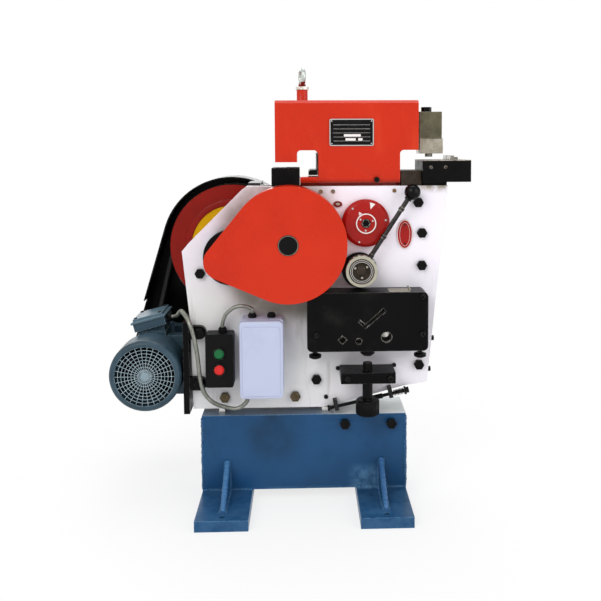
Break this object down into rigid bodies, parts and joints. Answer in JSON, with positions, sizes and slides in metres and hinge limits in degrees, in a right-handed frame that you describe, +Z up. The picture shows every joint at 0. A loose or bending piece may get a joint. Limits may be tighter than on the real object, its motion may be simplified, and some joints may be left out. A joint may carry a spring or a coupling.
{
  "type": "ironworker machine",
  "caption": "Mechanical ironworker with a flywheel drive, a punching head, a notching arm and a bar and angle shear on a bolted stand.",
  "frame": {"origin": "centre of the rectangle of floor bolt holes, on the floor", "axes": "+X to the right as seen from the operator's side, +Y away from the operator, +Z up"},
  "size_m": [0.861, 0.483, 1.041],
  "materials": {
    "blue_paint": "glossy enamel over steel plate, worn at the edges",
    "white_paint": "satin enamel over steel plate, lightly soiled",
    "orange_paint": "glossy enamel with a fine orange peel",
    "red_paint": "glossy crimson enamel",
    "black_paint": "semi-gloss black enamel",
    "flywheel_iron": "dark red paint with a yellow web",
    "motor_grey": "blue-grey paint over cast iron",
    "cowl_grey": "blue-grey paint over sheet steel",
    "black_steel": "oil-blackened steel with worn edges",
    "tool_steel": "ground tool steel with a brown oil film",
    "bright_steel": "turned bright steel",
    "gear_steel": "machined steel, greased",
    "bronze": "bearing bronze",
    "screw_black": "oil-blackened screws",
    "grey_plastic": "pale moulded housing",
    "black_plastic": "black moulded housing",
    "knob_black": "polished black ball",
    "green_plastic": "green push button",
    "red_plastic": "red push button",
    "belt_rubber": "rubber and cord belts",
    "conduit_grey": "flexible metal conduit",
    "plate_black": "aluminium plate with a blank black field",
    "eye_red": "dark red forged eye with a bright collar"
  },
  "bodies": {
    "root": {"base_stand": "blue_paint", "front_plate": "white_paint", "rear_plate": "white_paint", "frame_spacers": "bright_steel", "hex_bolts": "screw_black", "cap_screws": "screw_black", "notch_die": "black_steel", "throat_block": "black_steel", "punch_table": "black_steel", "punch_die": "tool_steel", "shear_box": "black_paint", "fixed_blade": "tool_steel", "thumb_screws": "screw_black", "jack_bracket": "black_steel", "bearing_flanges": "black_paint", "pinion_bearings": "bright_steel", "eccentric_bushes": "bronze", "gear_guard": "orange_paint", "belt_guard": "black_paint", "motor_bracket": "black_paint", "motor_body": "motor_grey", "motor_cowl": "cowl_grey", "terminal_box": "motor_grey", "terminal_lid": "cowl_grey", "v_belts": "belt_rubber", "starter_box": "grey_plastic", "starter_cover": "grey_plastic", "cable_glands": "black_plastic", "button_box": "black_plastic", "button_cover": "black_plastic", "motor_conduit": "conduit_grey", "station_conduit": "conduit_grey", "round_cap": "red_paint", "oval_badge": "red_paint", "lever_plate": "black_paint", "return_spring": "bright_steel"},
    "flywheel_set": {"flywheel": "flywheel_iron", "pinion_shaft": "gear_steel"},
    "gear_set": {"bull_gear": "gear_steel", "eccentric_shaft": "gear_steel"},
    "motor_rotor": {"motor_shaft": "bright_steel", "motor_fan": "black_plastic", "motor_pulley": "gear_steel"},
    "ram_set": {"ram": "orange_paint", "punch_holder": "tool_steel", "punch_tool": "tool_steel", "punch": "bright_steel", "name_plate": "plate_black", "lifting_eye": "eye_red", "moving_blade": "tool_steel", "head_screws": "screw_black"},
    "lever_set": {"lever_hub": "bright_steel", "lever_rod": "bright_steel", "lever_knob": "knob_black"},
    "jack_slide": {"jack_pad": "black_steel"},
    "jack_spindle": {"jack_screw": "black_steel"},
    "start_key": {"start_button": "green_plastic"},
    "stop_key": {"stop_button": "red_plastic"},
    "stop_slide": {"table_stop": "tool_steel"},
    "rod_slide": {"trip_rod": "bright_steel"}
  },
  "joints": [
    {"name": "flywheel_spin", "type": "hinge", "parent": "root", "child": "flywheel_set", "pos_m": [-0.18695, 0.2, 0.58643], "axis": [0, 1, 0], "continuous": true},
    {"name": "gear_spin", "type": "hinge", "parent": "root", "child": "gear_set", "pos_m": [-0.034, -0.09, 0.624], "axis": [0, 1, 0], "continuous": true},
    {"name": "motor_spin", "type": "hinge", "parent": "root", "child": "motor_rotor", "pos_m": [-0.377, 0.1, 0.308], "axis": [0, 1, 0], "continuous": true},
    {"name": "ram_slide", "type": "slide", "parent": "root", "child": "ram_set", "axis": [0, 0, 1], "range_m": [-0.007, 0.009]},
    {"name": "lever_turn", "type": "hinge", "parent": "root", "child": "lever_set", "pos_m": [0.137, -0.075, 0.557], "axis": [0, 1, 0], "range_deg": [-20, 35]},
    {"name": "jack_lift", "type": "slide", "parent": "root", "child": "jack_slide", "axis": [0, 0, 1], "range_m": [-0.008, 0.008]},
    {"name": "jack_turn", "type": "hinge", "parent": "jack_slide", "child": "jack_spindle", "pos_m": [0.15, -0.091, 0.3], "axis": [0, 0, 1], "range_deg": [-960, 960]},
    {"name": "start_press", "type": "slide", "parent": "root", "child": "start_key", "axis": [0, 1, 0], "range_m": [0, 0.003], "stiffness_N_per_m": 400},
    {"name": "stop_press", "type": "slide", "parent": "root", "child": "stop_key", "axis": [0, 1, 0], "range_m": [0, 0.003], "stiffness_N_per_m": 400},
    {"name": "table_stop_slide", "type": "slide", "parent": "root", "child": "stop_slide", "axis": [1, 0, 0], "range_m": [-0.008, 0.034]},
    {"name": "trip_rod_slide", "type": "slide", "parent": "root", "child": "rod_slide", "axis": [0.9759, 0, 0.2181], "range_m": [0, 0.01]}
  ],
  "couplings": [
    {"joint": "gear_spin", "follows": "flywheel_spin", "ratio": -0.25},
    {"joint": "motor_spin", "follows": "flywheel_spin", "ratio": 4.2011},
    {"joint": "jack_lift", "follows": "jack_turn", "m_per_rad": 0.00047746}
  ]
}
